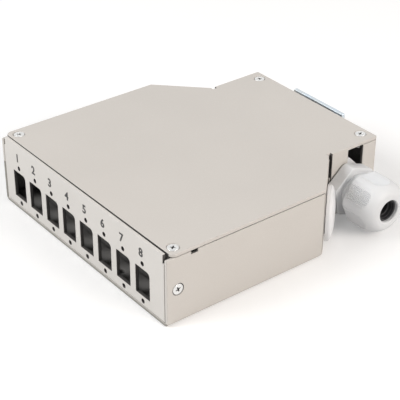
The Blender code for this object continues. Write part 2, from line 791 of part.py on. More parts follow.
def hook_section(side, root, base, sheet_thickness):
    # The hook's section in X and Y: a leg that stands off the rail's edge and a lip behind the rail.
    outer = hook_inner + sheet_thickness
    lip_rear = lip_front + sheet_thickness
    outline = [(root, base), (outer, base), (outer, lip_rear), (hook_inner - hook_reach, lip_rear),
               (hook_inner - hook_reach + hook_lead, lip_front), (hook_inner, lip_front),
               (hook_inner, base + sheet_thickness), (root, base + sheet_thickness)]
    return [(side * x, y) for x, y in outline]


def build_bracket(zinc):
    plate = rectangle((-bracket_half, bracket_half), (bracket_low, body_height - bracket_top_gap))
    bracket = add_part("din_bracket", prism(plate, bracket_back, rail_face, "Y"), zinc)
    hook_z = (clip_height - hook_width / 2, clip_height + hook_width / 2)
    root = bracket_half - hook_root
    fuse(bracket, prism(hook_section(-1, root, bracket_back, bracket_sheet), *hook_z))
    for x, z in rivet_places():
        dimple = rod(dimple_diameter / 2, slider_back, bracket_back + bracket_sheet / 2, sink_steps, "Y")
        fuse(bracket, moved(dimple, (x, 0, z)))
        hole = rod(rivet_diameter / 2 + seat_gap, rear, rail_face + sheet, hole_steps, "Y")
        carve(bracket, moved(hole, (x, 0, z)))
    window_x = (spring_start - 2 * seat_gap, spring_start + spring_length + seat_gap)
    window_z = (clip_height - window_height / 2, clip_height + window_height / 2)
    carve(bracket, box(window_x, (bracket_back - sheet, rail_face + sheet), window_z))
    shade_round(bracket, 30)
    return bracket


def build_slider(zinc):
    hook_z = (clip_height - hook_width / 2, clip_height + hook_width / 2)
    slider_front = slider_back + slider_sheet
    end = hook_inner + hook_sheet + pull_tab_length
    strip = box((-slider_inner_end, end), (slider_back, slider_front), hook_z)
    slider = add_part("din_slider", strip, zinc)
    fuse(slider, prism(hook_section(1, hook_inner, slider_back, hook_sheet), *hook_z))
    window_x = (spring_start - seat_gap, spring_start + spring_length + 2 * seat_gap)
    window_z = (clip_height - window_height / 2, clip_height + window_height / 2)
    carve(slider, box(window_x, (slider_back - sheet, slider_front + sheet), window_z))
    slot_x = (end - pull_tab_edge - pull_slot_length, end - pull_tab_edge)
    slot_z = (clip_height - pull_slot_height / 2, clip_height + pull_slot_height / 2)
    carve(slider, box(slot_x, (slider_back - sheet, slider_front + sheet), slot_z))
    return slider


def build_spring(steel):
    curve = bpy.data.curves.new("din_spring", "CURVE")
    curve.dimensions = "3D"
    curve.bevel_depth = spring_wire
    curve.bevel_resolution = 1
    curve.use_fill_caps = True
    per_turn = 10
    count = spring_turns * per_turn + 1
    line = curve.splines.new("POLY")
    line.points.add(count - 1)
    run = spring_length - 2 * spring_wire
    for index in range(count):
        angle = 2 * pi * index / per_turn
        along = spring_wire + run * index / (count - 1)
        line.points[index].co = (along, spring_radius * cos(angle), spring_radius * sin(angle), 1)
    spring = bpy.data.objects.new("din_spring", curve)
    spring.data.materials.append(steel)
    spring.location = (spring_start, rear + spring_lift + spring_wire + spring_radius, clip_height)
    bpy.context.collection.objects.link(spring)
    return spring


def build_rivets(steel):
    radius = rivet_diameter / 2
    tail_radius = rivet_tail / 2
    head_radius = rivet_head / 2
    tail = rear - sheet - seat_gap
    head = rail_face + seat_gap
    profile = [(tail - rivet_tail_height, 0), (tail - rivet_tail_height, radius),
               (tail - rivet_tail_edge, tail_radius), (tail, tail_radius), (tail, radius), (head, radius),
               (head, head_radius), (head + rivet_head_height / 2, head_radius - rivet_head_edge),
               (head + rivet_head_height, head_radius / 2), (head + rivet_head_height, 0)]
    for index, (x, z) in enumerate(rivet_places()):
        rivet = add_part("rivet_%d" % (index + 1), turned(profile, rivet_steps, "Y"), steel, (x, 0, z))
        shade_round(rivet)


def build_splice_holder(plastic):
    # A comb: a base with a rib at each side of every slot.
    comb_edge = (splice_slots * splice_pitch + splice_rib) / 2
    y_low = front + splice_setback
    base_top = floor_top + splice_base
    rib_top = base_top + splice_rib_height
    outline = [(-comb_edge, floor_top), (comb_edge, floor_top)]
    for index in range(splice_slots, 0, -1):
        right = (index - splice_slots / 2) * splice_pitch
        left = right - splice_pitch
        outline += [(right + splice_rib / 2, rib_top), (right - splice_rib / 2, rib_top),
                    (right - splice_rib / 2, base_top), (left + splice_rib / 2, base_top)]
    outline += [(-comb_edge + splice_rib, rib_top), (-comb_edge, rib_top)]
    return add_part("splice_holder", prism(outline, y_low, y_low + splice_length, "Y"), plastic)


def build_fibre_guides(plastic):
    half = guide_width / 2
    mouth = guide_mouth / 2
    inner = half - guide_wall
    roof = guide_height - guide_wall
    outline = [(-half, 0), (half, 0), (half, guide_height), (mouth, guide_height), (mouth, roof),
               (inner, roof), (inner, guide_wall), (-inner, guide_wall), (-inner, roof), (-mouth, roof),
               (-mouth, guide_height), (-half, guide_height)]
    for side_name, side in (("left", -1), ("right", 1)):
        shape = prism(outline, -guide_depth / 2, guide_depth / 2, "Y")
        place = (side * (half_width - guide_inset), front + guide_setback, floor_top)
        add_part("fibre_guide_" + side_name, shape, plastic, place)


def build_cable_anchor(plastic):
    # A low bridge behind the gland, with a tunnel for a cable tie.
    half = anchor_width / 2
    outline = [(-half, 0), (half, 0), (half, anchor_height / 2), (half * 2 / 3, anchor_height),
               (-half * 2 / 3, anchor_height), (-half, anchor_height / 2)]
    gland_inner_end = neck_half - sheet - gland_inner_length
    x = gland_inner_end - anchor_gap - anchor_depth / 2
    anchor = add_part("cable_anchor", prism(outline, -anchor_depth / 2, anchor_depth / 2, "X"), plastic,
                      (x, entry_y, floor_top))
    tunnel = rectangle((-tunnel_width / 2, tunnel_width / 2),
                       (anchor_height / 2 - tunnel_height / 2, anchor_height / 2 + tunnel_height / 2))
    carve(anchor, prism(tunnel, -anchor_depth, anchor_depth, "X"))
    return anchor


clear_scene()
powder_coat = make_material("powder_coat", (0.62, 0.59, 0.55), 0.45)
panel_coat = make_material("panel_coat", (0.68, 0.66, 0.62), 0.42)
bright_zinc = make_material("bright_zinc", (0.72, 0.73, 0.74), 0.3, 1.0)
blue_zinc = make_material("blue_zinc", (0.58, 0.65, 0.7), 0.35, 1.0)
spring_steel = make_material("spring_steel", (0.45, 0.45, 0.46), 0.3, 1.0)
grey_plastic = make_material("grey_plastic", (0.74, 0.76, 0.77), 0.4)
white_plastic = make_material("white_plastic", (0.82, 0.82, 0.82), 0.4)
black_rubber = make_material("black_rubber", (0.02, 0.02, 0.022), 0.6)

build_housing(powder_coat)
build_front_panel(panel_coat)
build_lid(powder_coat)
build_fasteners(bright_zinc)
build_gland(grey_plastic, black_rubber)
build_plugs(white_plastic)
build_bracket(blue_zinc)
build_slider(blue_zinc)
build_spring(spring_steel)
build_rivets(bright_zinc)
build_splice_holder(white_plastic)
build_fibre_guides(white_plastic)
build_cable_anchor(white_plastic)
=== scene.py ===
# Finishes, fine shapes and studio for the din rail fibre box
import json
from math import asin, cos, hypot, pi, radians, sin, sqrt, tan

import bmesh
import bpy
from mathutils import Matrix, Vector


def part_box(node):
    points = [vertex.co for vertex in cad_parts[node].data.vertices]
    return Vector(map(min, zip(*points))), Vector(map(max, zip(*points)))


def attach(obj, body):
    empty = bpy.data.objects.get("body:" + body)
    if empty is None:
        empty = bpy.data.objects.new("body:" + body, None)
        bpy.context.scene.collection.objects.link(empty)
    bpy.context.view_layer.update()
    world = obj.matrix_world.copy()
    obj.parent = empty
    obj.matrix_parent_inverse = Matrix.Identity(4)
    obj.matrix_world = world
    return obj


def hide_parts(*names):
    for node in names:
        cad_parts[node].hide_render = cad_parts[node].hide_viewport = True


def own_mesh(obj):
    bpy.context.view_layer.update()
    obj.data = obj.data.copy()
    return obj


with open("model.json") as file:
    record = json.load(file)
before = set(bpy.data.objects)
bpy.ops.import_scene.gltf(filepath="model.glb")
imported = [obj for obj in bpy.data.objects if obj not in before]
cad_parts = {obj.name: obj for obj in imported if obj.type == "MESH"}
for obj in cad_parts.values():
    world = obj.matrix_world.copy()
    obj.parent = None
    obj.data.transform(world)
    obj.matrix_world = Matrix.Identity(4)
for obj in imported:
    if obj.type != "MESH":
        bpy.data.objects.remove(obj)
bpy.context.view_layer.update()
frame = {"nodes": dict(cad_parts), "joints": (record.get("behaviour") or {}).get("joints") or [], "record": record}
scene = bpy.context.scene
mm = 0.001
joints = {joint["name"]: joint for joint in frame["joints"]}
glandAxis = Vector(joints["gland_nut_turn"]["pos_m"])  # where the gland's axis leaves the neck wall
print("frame loaded:", len(frame["nodes"]), "nodes")


# Finishes

def newFinish(name, look, metallic=0.0):
    colour = (*look["colour"], 1)
    material = bpy.data.materials.new(name)
    material.use_nodes = True
    material.diffuse_color = colour
    shader = material.node_tree.nodes["Principled BSDF"]
    shader.inputs["Base Color"].default_value = colour
    shader.inputs["Roughness"].default_value = look["roughness"]
    shader.inputs["Metallic"].default_value = metallic
    return material, material.node_tree, shader


def surfacePlace(tree, stretch=(1, 1, 1)):
    place = tree.nodes.new("ShaderNodeTexCoord")
    mapping = tree.nodes.new("ShaderNodeMapping")
    mapping.inputs["Scale"].default_value = stretch
    tree.links.new(place.outputs["Object"], mapping.inputs["Vector"])
    return mapping.outputs["Vector"]


def cloud(tree, place, size, detail, rough=0.55):
    # size is the width of one blotch in metres
    node = tree.nodes.new("ShaderNodeTexNoise")
    node.inputs["Scale"].default_value = 1 / size
    node.inputs["Detail"].default_value = detail
    node.inputs["Roughness"].default_value = rough
    tree.links.new(place, node.inputs["Vector"])
    return node.outputs["Fac"]


def remap(tree, value, low, high, fromLow=0.3, fromHigh=0.7):
    node = tree.nodes.new("ShaderNodeMapRange")
    node.inputs["From Min"].default_value = fromLow
    node.inputs["From Max"].default_value = fromHigh
    node.inputs["To Min"].default_value = low
    node.inputs["To Max"].default_value = high
    tree.links.new(value, node.inputs["Value"])
    return node.outputs["Result"]


def blendColours(tree, factor, first, second):
    node = tree.nodes.new("ShaderNodeMix")
    node.data_type = "RGBA"
    tree.links.new(factor, node.inputs["Factor"])
    for socket, colour in ((node.inputs["A"], first), (node.inputs["B"], second)):
        if isinstance(colour, tuple):
            socket.default_value = (*colour, 1)
        else:
            tree.links.new(colour, socket)
    return node.outputs["Result"]


def shade(colour, factor):
    return tuple(min(1.0, part * factor) for part in colour)


def varyGloss(tree, shader, value, look):
    smoother, rougher = look["glossRange"]
    gloss = remap(tree, value, look["roughness"] - smoother, look["roughness"] + rougher)
    tree.links.new(gloss, shader.inputs["Roughness"])


def relief(tree, shader, layers, edge=0.0):
    # layers is a list of (height value, depth in metres); edge rounds sharp corners in the shading
    normal = None
    if edge > 0:
        bevel = tree.nodes.new("ShaderNodeBevel")
        bevel.samples = 4
        bevel.inputs["Radius"].default_value = edge
        normal = bevel.outputs["Normal"]
    for height, depth in layers:
        bump = tree.nodes.new("ShaderNodeBump")
        bump.inputs["Strength"].default_value = 1.0
        bump.inputs["Distance"].default_value = depth
        tree.links.new(height, bump.inputs["Height"])
        if normal is not None:
            tree.links.new(normal, bump.inputs["Normal"])
        normal = bump.outputs["Normal"]
    tree.links.new(normal, shader.inputs["Normal"])


caseCoat = {
    "colour": (0.648, 0.615, 0.575), "roughness": 0.46, "glossRange": (0.05, 0.07),
    "patch": 60 * mm, "patchTones": (0.975, 1.02),
    "speck": 0.35 * mm, "speckColour": (0.80, 0.78, 0.75), "speckStrength": 0.35,
    "speckRange": (0.66, 0.74), "peel": 1.1 * mm, "peelDepth": 0.012 * mm, "grain": 0.16 * mm,
    "grainDepth": 0.006 * mm, "edge": 0.35 * mm,
}
panelCoat = dict(caseCoat, colour=(0.690, 0.662, 0.625), roughness=0.44, patch=45 * mm)
# painted shade: dark copies of the coat stand in for the shade inside the case, in gaps, slits and hole reveals,
# and on the lower edges
paintedInsideShade = dict(caseCoat, colour=(0.20, 0.193, 0.185), speckColour=(0.3, 0.29, 0.28), roughness=0.6)
paintedGapShade = dict(caseCoat, colour=(0.085, 0.08, 0.077), speckColour=(0.2, 0.19, 0.18), roughness=0.5)
shadedEdge = dict(caseCoat, colour=(0.30, 0.285, 0.255), speckColour=(0.4, 0.38, 0.35), roughness=0.55)


def powderCoat(name, look):
    material, tree, shader = newFinish(name, look)
    place = surfacePlace(tree)
    patches = cloud(tree, place, look["patch"], detail=2.0)
    specks = cloud(tree, place, look["speck"], detail=1.0, rough=0.4)
    peel = cloud(tree, place, look["peel"], detail=2.0)
    grain = cloud(tree, place, look["grain"], detail=1.0)
    dark, light = (shade(look["colour"], tone) for tone in look["patchTones"])
    toned = blendColours(tree, remap(tree, patches, 0, 1), dark, light)
    fleck = remap(tree, specks, 0, look["speckStrength"], *look["speckRange"])
    dotted = blendColours(tree, fleck, toned, look["speckColour"])
    tree.links.new(dotted, shader.inputs["Base Color"])
    varyGloss(tree, shader, peel, look)
    relief(tree, shader, [(peel, look["peelDepth"]), (grain, look["grainDepth"])], look["edge"])
    return material


screwZinc = {
    "colour": (0.80, 0.80, 0.79), "roughness": 0.24, "glossRange": (0.08, 0.12),
    "patch": 1.5 * mm, "tint": (0.70, 0.70, 0.69), "tintRange": (0.35, 0.65),
    "worn": (0.90, 0.90, 0.89), "wornStrength": 0.35, "wornRange": (0.45, 0.75),
    "stretch": (1, 1, 1), "streak": 0.25 * mm, "streakDepth": 0.003 * mm, "edge": 0.08 * mm,
}
paintedRecessShade = dict(screwZinc, colour=(0.10, 0.10, 0.10), tint=(0.16, 0.155, 0.15), worn=(0.3, 0.3, 0.3),
                  roughness=0.6, edge=0)  # painted shade: the crosses are dark where the recess is in shade
clipZinc = dict(screwZinc, colour=(0.60, 0.68, 0.76), tint=(0.70, 0.72, 0.70), worn=(0.78, 0.82, 0.86),
                roughness=0.34, patch=7 * mm, stretch=(0.06, 1, 1), streak=0.22 * mm,
                streakDepth=0.006 * mm, edge=0.25 * mm)
springWire = dict(clipZinc, colour=(0.42, 0.42, 0.43), tint=(0.52, 0.50, 0.47), worn=(0.6, 0.6, 0.6),
                  stretch=(1, 1, 1), patch=1 * mm, edge=0)


def platedSteel(name, look):
    # rolled streaks, cloudy passivation and a little wear
    material, tree, shader = newFinish(name, look, 1.0)
    place = surfacePlace(tree)
    rolled = surfacePlace(tree, look["stretch"])
    clouds = cloud(tree, place, look["patch"], detail=4.0, rough=0.6)
    streaks = cloud(tree, rolled, look["streak"], detail=3.0)
    clouded = remap(tree, clouds, 0, 1, *look["tintRange"])
    tint = blendColours(tree, clouded, look["colour"], look["tint"])
    wear = remap(tree, streaks, 0, look["wornStrength"], *look["wornRange"])
    worn = blendColours(tree, wear, tint, look["worn"])
    tree.links.new(worn, shader.inputs["Base Color"])
    varyGloss(tree, shader, streaks, look)
    relief(tree, shader, [(streaks, look["streakDepth"])], look["edge"])
    return material


glandNylon = {
    "colour": (0.79, 0.80, 0.812), "roughness": 0.42, "glossRange": (0.04, 0.08),
    "flow": 9 * mm, "flowTone": 0.97, "grain": 0.14 * mm, "grainDepth": 0.007 * mm,
    "glow": 0.12, "glowRadius": (0.6, 0.6, 0.6), "glowDepth": 1 * mm, "edge": 0.2 * mm,
}
plugNylon = dict(glandNylon, colour=(0.86, 0.86, 0.87), roughness=0.38)
sealRubber = dict(glandNylon, colour=(0.022, 0.022, 0.024), roughness=0.55, flow=3 * mm, grain=0.2 * mm,
                  grainDepth=0.012 * mm, glow=0.0, edge=0)


def mouldedPlastic(name, look):
    # satin plastic with flow shading and a fine spark-eroded grain
    material, tree, shader = newFinish(name, look)
    place = surfacePlace(tree)
    flow = cloud(tree, place, look["flow"], detail=2.0)
    grain = cloud(tree, place, look["grain"], detail=2.0, rough=0.6)
    flowColour = shade(look["colour"], look["flowTone"])
    toned = blendColours(tree, remap(tree, flow, 0, 1), flowColour, look["colour"])
    tree.links.new(toned, shader.inputs["Base Color"])
    varyGloss(tree, shader, grain, look)
    shader.inputs["Subsurface Weight"].default_value = look["glow"]
    shader.inputs["Subsurface Radius"].default_value = look["glowRadius"]
    shader.inputs["Subsurface Scale"].default_value = look["glowDepth"]
    relief(tree, shader, [(grain, look["grainDepth"])], look["edge"])
    return material


inkLook = {
    "colour": (0.035, 0.034, 0.033), "thinTone": 1.9, "roughness": 0.5,
    "grain": 0.12 * mm, "grainDepth": 0.002 * mm,
}


def printedInk(name, look):
    material, tree, shader = newFinish(name, look)
    grain = cloud(tree, surfacePlace(tree), look["grain"], detail=2.0)
    thinColour = shade(look["colour"], look["thinTone"])
    mottled = blendColours(tree, remap(tree, grain, 0, 1), look["colour"], thinColour)
    tree.links.new(mottled, shader.inputs["Base Color"])
    relief(tree, shader, [(grain, look["grainDepth"])])
    return material


finishes = {
    "powder_coat": powderCoat("powder coat", caseCoat),
    "panel_coat": powderCoat("panel coat", panelCoat),
    "paintedInsideShade": powderCoat("painted shade inside the case", paintedInsideShade),
    "paintedGapShade": powderCoat("painted shade in gaps and reveals", paintedGapShade),
    "shadedEdge": powderCoat("painted shade on lower edges", shadedEdge),
    "bright_zinc": platedSteel("bright zinc", screwZinc),
    "screwRecessShade": platedSteel("painted shade in screw recesses", paintedRecessShade),
    "blue_zinc": platedSteel("blue zinc", clipZinc),
    "spring_steel": platedSteel("spring wire", springWire),
    "grey_plastic": mouldedPlastic("gland nylon", glandNylon),
    "white_plastic": mouldedPlastic("plug nylon", plugNylon),
    "black_rubber": mouldedPlastic("seal rubber", sealRubber),
    "ink": printedInk("port number ink", inkLook),
}
slotOf = {part["node"]: part["material_slot"] for part in frame["record"]["subparts"]}
for nodeName, node in frame["nodes"].items():
    node.data.materials.clear()
    node.data.materials.append(finishes[slotOf[nodeName]])
print("finishes:", len(finishes))


# Shared shaping

def addPiece(name, mesh, slot, body, replaced=()):
    piece = bpy.data.objects.new(name, mesh)
    scene.collection.objects.link(piece)
    mesh.materials.append(finishes[slot])
    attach(piece, body)
    if replaced:
        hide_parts(*replaced)
    return piece


def meshFrom(name, shape):
    mesh = bpy.data.meshes.new(name)
    shape.to_mesh(mesh)
    shape.free()
    return mesh


def smoothMesh(mesh, sharpAngle):
    # edges that turn by more degrees than sharpAngle stay crisp
    mesh.shade_smooth()
    mesh.set_sharp_from_angle(angle=radians(sharpAngle))


def closedMesh(name, shape, sharpAngle=40):
    bmesh.ops.recalc_face_normals(shape, faces=shape.faces)
    mesh = meshFrom(name, shape)
    smoothMesh(mesh, sharpAngle)
    return mesh


def joinRings(shape, rings):
    # quads between neighbouring rings that have equally many points
    for first, second in zip(rings, rings[1:]):
        for index in range(len(first)):
            after = (index + 1) % len(first)
            shape.faces.new((first[index], first[after], second[after], second[index]))


def ringGrid(name, rows, columns, sharpAngle=40, radiusAt=None):
    # rows are (along, radius); the axis is local +X and the last row joins the first
    shape = bmesh.new()
    rings = []
    for rowIndex, (along, radius) in enumerate(rows):
        ring = []
        for column in range(columns):
            angle = 2 * pi * column / columns
            r = radius if radiusAt is None else radiusAt(rowIndex, along, radius, angle)
            ring.append(shape.verts.new((along, r * cos(angle), r * sin(angle))))
        rings.append(ring)
    joinRings(shape, rings + rings[:1])
    bmesh.ops.remove_doubles(shape, verts=shape.verts, dist=1e-7)
    return closedMesh(name, shape, sharpAngle)


def bend(centre, radius, start, end, steps):
    # an arc of a turned profile: points are (along, radius), angles in degrees from the along axis
    points = []
    for step in range(steps + 1):
        angle = radians(start + (end - start) * step / steps)
        points.append((centre[0] + radius * cos(angle), centre[1] + radius * sin(angle)))
    return points


def softMin(first, second, blend):
    near = max(blend - abs(first - second), 0) / blend
    return min(first, second) - near * near * blend / 4


def hexagonReach(angle, across, turn):
    sector = (angle - radians(turn)) % (pi / 3) - pi / 6
    return across / 2 / cos(sector), across / 2 * tan(sector)


# Sheet metal: the folded pieces with their edges eased as the coating leaves them

sheetEdges = {
    "lid": 0.3 * mm, "front_panel": 0.25 * mm, "housing": 0.28 * mm,
    "din_bracket": 0.28 * mm, "din_slider": 0.22 * mm,
}
easing = {"weld": 0.002 * mm, "flatAngle": 1, "foldAngle": 28, "steps": 3, "sharpAngle": 32}
# where the coats and the painted shade change, as heights above the base and distances from the middle of the case
zones = {
    "side": 60.5 * mm, "neck": 39.3 * mm, "shoulder": 74.4 * mm, "ends": 63.6 * mm,
    "floor": 1.4 * mm, "roof": 31.6 * mm, "probe": 0.4 * mm,
    "cutSide": 57 * mm, "cutLow": 2 * mm, "cutHigh": 30 * mm, "cutRear": 63.3 * mm,
    "slotInner": 39.1 * mm, "slotOuter": 41 * mm, "slotFront": 34 * mm, "slotRear": 60 * mm,
    "tabFront": 39 * mm, "lidFront": 62.4 * mm, "wallTop": 30.9 * mm, "slit": 29 * mm,
    "baseEdge": 1.7 * mm, "leftEdge": 20 * mm, "frontPost": 53 * mm, "front": 64.6 * mm,
    # how much of a face's normal points along an axis
    "square": 0.9, "leaning": 0.6, "slanted": 0.5, "turned": 0.3, "tilted": 0.2,
}
lidFit = {"skew": 0.45 * mm, "half": 61 * mm, "start": 60 * mm, "blend": 2 * mm}
screwSeat = {"reach": 3.2 * mm, "lengthShare": 0.3}
screwAxes = []  # the middle of each screw and the axis it lies along
for nodeName in frame["nodes"]:
    if "_screw_" in nodeName:
        low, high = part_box(nodeName)
        lengths = list(high - low)
        screwAxes.append(((low + high) / 2, lengths.index(max(lengths))))


def inCutOut(nodeName, spot, look):
    # true beside the ports and screw holes of the panel
    if nodeName != "front_panel" or abs(spot.x) > look["cutSide"]:
        return False
    return look["cutLow"] < spot.z < look["cutHigh"] and spot.y < -look["cutRear"]


def edgeCoat(nodeName, middle, beside, normal, look):
    # the coat or painted shade of an edge where it differs from the rest of the sheet
    if nodeName == "housing" and middle.y < -look["frontPost"]:
        if middle.z > look["wallTop"] and beside > look["cutSide"] and normal.z > look["tilted"]:
            return 0
        if middle.x < 0 and middle.z > look["slit"] and normal.x > look["square"]:
            return 0
        # painted shade on the lower front edge and the lower left edge
        onLeft = middle.x < -look["cutSide"] and middle.z < look["leftEdge"]
        if middle.y < -look["front"] and normal.z < look["slanted"]:
            if onLeft or middle.z < look["baseEdge"]:
                return 3
    # painted shade on the sides of the neck slots
    if nodeName == "housing" and look["slotInner"] < beside < look["slotOuter"]:
        if look["slotFront"] < middle.y < look["slotRear"] and abs(normal.y) > look["square"]:
            return 2
    # painted shade in the slit and on the top back edge of the panel
    if nodeName == "front_panel" and middle.z > look["slit"]:
        if normal.y > look["leaning"] and normal.z > look["tilted"]:
            return 2
        if normal.x > look["square"]:
            return 2
    # painted shade on the reveals of the ports and screw holes
    if inCutOut(nodeName, middle, look) and abs(normal.y) < look["turned"]:
        return 2
    # painted shade on the lid's front face in the joint and on the end face of its tab
    if nodeName == "lid" and middle.y < -look["lidFront"] and normal.y < -look["square"]:
        return 2
    if nodeName == "lid" and look["slotFront"] < middle.y < look["tabFront"]:
        if beside > look["slotInner"] and normal.y < -look["slanted"]:
            return 2
    return None


def coatOf(nodeName, face, look):
    # 0 is the outer coat, 1 painted shade inside the case, 2 painted shade in gaps, slits and hole reveals, 3
    # painted shade on the lower edges
    middle = face.calc_center_median()
    spot = middle + face.normal * look["probe"]
    x, y = abs(spot.x), spot.y
    coat = edgeCoat(nodeName, middle, x, face.normal, look)
    if coat is not None:
        return coat
    # painted shade on the back of the panel and on the inside of the case
    if nodeName == "front_panel" and face.normal.y > look["square"]:
        return 1
    if abs(y) > look["ends"] or not look["floor"] < spot.z < look["roof"]:
        return 0
    return int(x < look["neck"] or (x < look["side"] and x + y < look["shoulder"]))


def onScrewSeat(spot, look):
    # a screw is longer than wide, so distance along it counts less
    for middle, axis in screwAxes:
        away = spot - middle
        away[axis] *= look["lengthShare"]
        if away.length < look["reach"]:
            return True
    return False


def easedSheet(nodeName, ease):
    shape = bmesh.new()
    shape.from_mesh(frame["nodes"][nodeName].data)
    bmesh.ops.remove_doubles(shape, verts=shape.verts, dist=easing["weld"])
    bmesh.ops.dissolve_limit(shape, angle_limit=radians(easing["flatAngle"]), verts=shape.verts,
                             edges=shape.edges)
    if nodeName == "housing":
        # the front edge is parted where its coat and painted shade change
        for height in (zones["baseEdge"], zones["leftEdge"], zones["slit"]):
            front = [face for face in shape.faces if face.calc_center_median().y < 0]
            front = dict.fromkeys(item for face in front for item in (face, *face.edges, *face.verts))
            bmesh.ops.bisect_plane(shape, geom=list(front), plane_co=(0, 0, height), plane_no=(0, 0, 1))
    sharp = [edge for edge in shape.edges
             if edge.is_manifold and edge.calc_face_angle(0) > radians(easing["foldAngle"])]
    # the punched holes of the panel and the screws' seats stay crisp
    sharp = [edge for edge in sharp
             if not all(inCutOut(nodeName, vert.co, zones) for vert in edge.verts)
             and not all(onScrewSeat(vert.co, screwSeat) for vert in edge.verts)]
    bmesh.ops.bevel(shape, geom=sharp, offset=ease, segments=easing["steps"], profile=0.5,
                    affect="EDGES", clamp_overlap=False)
    if nodeName == "lid":
        # the lid sits a little askew, so its front joint opens towards the right
        for vert in shape.verts:
            share = min(1, max(0, (-vert.co.y - lidFit["start"]) / lidFit["blend"]))
            vert.co.y += lidFit["skew"] * share * (vert.co.x / lidFit["half"] + 1) / 2
    for face in shape.faces:
        face.material_index = coatOf(nodeName, face, zones)
    mesh = meshFrom(nodeName + "Eased", shape)
    smoothMesh(mesh, easing["sharpAngle"])
    body = "latch" if nodeName == "din_slider" else "case"
    piece = addPiece(nodeName + "Eased", mesh, slotOf[nodeName], body, (nodeName,))
    piece.modifiers.new("flatSheet", "WEIGHTED_NORMAL").keep_sharp = True
    # the extra materials are painted shade, indexed 1 to 3
    for finish in ("paintedInsideShade", "paintedGapShade", "shadedEdge"):
        mesh.materials.append(finishes[finish])


for nodeName, ease in sheetEdges.items():
    easedSheet(nodeName, ease)
print("sheet metal eased")


# Countersunk screws with a cross recess

screwLook = {
    "headRadius": 2.36 * mm, "faceInset": 0.1 * mm, "crown": 0.1 * mm, "rim": 0.3 * mm,
    "edgeEase": 0.03 * mm, "edgeDrop": 0.08 * mm, "shank": 1.25 * mm, "length": 6.6 * mm,
    "tipShare": 0.7, "armLength": 1.12 * mm, "armWidth": 0.62 * mm, "armTaper": 0.28, "hub": 1.35,
    "wall": 0.12 * mm, "recess": 1.1 * mm, "recessSlope": 0.55, "darkBelow": 0.12 * mm,
    "crossReach": 1.23 * mm, "threadPitch": 0.5 * mm, "threadDepth": 0.12 * mm,
    "rings": 40, "columns": 96, "sharpAngle": 35,
}
screwTurns = {
    "lid_screw_front_left": 12, "lid_screw_front_right": 38, "lid_screw_rear_left": 63,
    "lid_screw_rear_right": 24, "side_screw_left": 20, "side_screw_right": 20,
}


def crossRecess(x, y, look):
    # depth of the recess at a point of the head's face
    arm = look["armLength"]
    outwards = min(1, hypot(x, y) / arm)
    half = look["armWidth"] / 2 * (1 - look["armTaper"] * outwards)
    inArms = [min(arm - abs(a), half - abs(b)) for a, b in ((x, y), (y, x))]
    inside = max(inArms + [half * look["hub"] - hypot(x, y)])
    share = max(0.0, min(1.0, inside / look["wall"] + 0.5))
    floor = look["recess"] * (1 - look["recessSlope"] * outwards)
    return share * share * (3 - 2 * share) * floor


def screwMesh(name, look):
    # local +Z leaves the head; faces deep in the cross take the second material, painted shade
    head, rim, columns = look["headRadius"], look["rim"], look["columns"]
    around = [2 * pi * column / columns for column in range(columns)]
    shape = bmesh.new()
    rings = []
    centre = shape.verts.new((0, 0, -crossRecess(0, 0, look)))
    for ringIndex in range(1, look["rings"] + 1):
        radius = (head - look["faceInset"]) * ringIndex / look["rings"]
        crown = -look["crown"] * (radius / head) ** 2
        ring = []
        for angle in around:
            x, y = radius * cos(angle), radius * sin(angle)
            ring.append(shape.verts.new((x, y, crown - crossRecess(x, y, look))))
        rings.append(ring)
    cone = head - look["shank"]
    edge = -look["crown"]
    lower = [(head - look["edgeEase"], edge - look["edgeEase"]), (head, edge - look["edgeDrop"]),
             (head, edge - rim), (look["shank"], edge - rim - cone)]
    z = edge - rim - cone - look["threadPitch"] / 2
    while z > -look["length"] + look["threadPitch"]:
        lower.append((look["shank"], z))
        lower.append((look["shank"] - look["threadDepth"], z - look["threadPitch"] / 2))
        z -= look["threadPitch"]
    lower.append((look["shank"] * look["tipShare"], -look["length"]))
    for radius, z in lower:
        corners = [(radius * cos(angle), radius * sin(angle), z) for angle in around]
        rings.append([shape.verts.new(corner) for corner in corners])
    for column in range(columns):
        shape.faces.new((centre, rings[0][column], rings[0][(column + 1) % columns]))
    for first, second in zip(rings, rings[1:]):
        for column in range(columns):
            after = (column + 1) % columns
            shape.faces.new((first[column], second[column], second[after], first[after]))
    shape.faces.new(rings[-1])
    for face in shape.faces:
        middle = face.calc_center_median()
        # painted shade on the faces deep in the cross
        if hypot(middle.x, middle.y) < look["crossReach"]:
            face.material_index = int(crossRecess(middle.x, middle.y, look) > look["darkBelow"])
    return closedMesh(name, shape, look["sharpAngle"])


def placeScrew(node, turn):
    low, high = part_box(node)
    top = (low + high) / 2
    lean = Matrix.Identity(4)
    if node.startswith("lid"):
        top.z = high.z
    else:
        side = 1 if node.endswith("right") else -1
        top.x = high.x if side > 0 else low.x
        lean = Matrix.Rotation(side * pi / 2, 4, "Y")
    mesh = screwMesh(node + "Fine", screwLook)
    mesh.transform(Matrix.Translation(top) @ lean @ Matrix.Rotation(radians(turn), 4, "Z"))
    addPiece(node + "Fine", mesh, "bright_zinc", "case", (node,))
    # the second material is the painted shade in the cross
    mesh.materials.append(finishes["screwRecessShade"])


for node, turn in screwTurns.items():
    placeScrew(node, turn)
print("screws placed")


# Gland: body with hexagon flange, ribbed dome nut, locknut and rubber insert
# Lengths run outwards from the neck wall's outer face, turns are in degrees.

